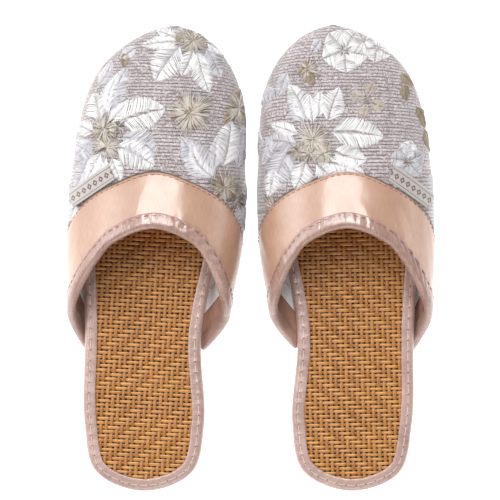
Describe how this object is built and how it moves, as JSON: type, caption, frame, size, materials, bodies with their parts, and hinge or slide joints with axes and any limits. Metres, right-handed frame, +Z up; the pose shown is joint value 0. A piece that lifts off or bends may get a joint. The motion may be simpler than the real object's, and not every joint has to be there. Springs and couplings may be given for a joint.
{
  "type": "spa slippers",
  "caption": "Open-heeled spa slippers with embroidered closed toes, satin collars, woven rattan footbeds and flat soles.",
  "frame": {"origin": "centre of the bounding box on the floor, midway between the two slippers", "axes": "+Z up, +Y towards the toes, +X towards the right slipper"},
  "size_m": [0.205, 0.2588, 0.0616],
  "materials": {
    "outsole_rubber": "moulded EVA foam, matt, cross-grooved underneath",
    "foam": "open-cell sponge sheet",
    "insole_board": "pressed fibre board",
    "rattan_mat": "twill-woven split rattan, satin sheen",
    "binding_tape": "bias-cut rose-gold satin tape",
    "thread": "sewing thread",
    "embroidered_net": "grey-lilac ribbed net with white and beige satin-stitch flowers",
    "white_lining": "white cotton",
    "satin": "champagne satin",
    "satin_facing": "champagne satin, inside face",
    "label_weave": "grey woven label, plain"
  },
  "bodies": {
    "left_slipper": {"left_outsole": "outsole_rubber", "left_sole_filler": "foam", "left_insole_board": "insole_board", "left_footbed_cushion": "foam", "left_woven_mat": "rattan_mat", "left_footbed_binding": "binding_tape", "left_footbed_stitching": "thread", "left_vamp_cover": "embroidered_net", "left_vamp_padding": "foam", "left_vamp_lining": "white_lining", "left_collar_cover": "satin", "left_collar_padding": "foam", "left_collar_facing": "satin_facing", "left_throat_binding": "binding_tape", "left_throat_stitching": "thread", "left_seam_stitching": "thread"},
    "left_label_tag": {"left_label": "label_weave"},
    "right_slipper": {"right_outsole": "outsole_rubber", "right_sole_filler": "foam", "right_insole_board": "insole_board", "right_footbed_cushion": "foam", "right_woven_mat": "rattan_mat", "right_footbed_binding": "binding_tape", "right_footbed_stitching": "thread", "right_vamp_cover": "embroidered_net", "right_vamp_padding": "foam", "right_vamp_lining": "white_lining", "right_collar_cover": "satin", "right_collar_padding": "foam", "right_collar_facing": "satin_facing", "right_throat_binding": "binding_tape", "right_throat_stitching": "thread", "right_seam_stitching": "thread"},
    "right_label_tag": {"right_label": "label_weave"}
  },
  "joints": [
    {"name": "left_label_flip", "type": "hinge", "parent": "left_slipper", "child": "left_label_tag", "pos_m": [-0.08462, 0.0357, 0.05013], "axis": [0.7915, 0.5069, 0.3414], "range_deg": [0, 100]},
    {"name": "right_label_flip", "type": "hinge", "parent": "right_slipper", "child": "right_label_tag", "pos_m": [0.08547, 0.03496, 0.05013], "axis": [0.7771, -0.5288, -0.3414], "range_deg": [0, 100]},
    {"name": "pair_slide", "type": "slide", "parent": "left_slipper", "child": "right_slipper", "axis": [1, 0, 0], "range_m": [0, 0.25]}
  ]
}
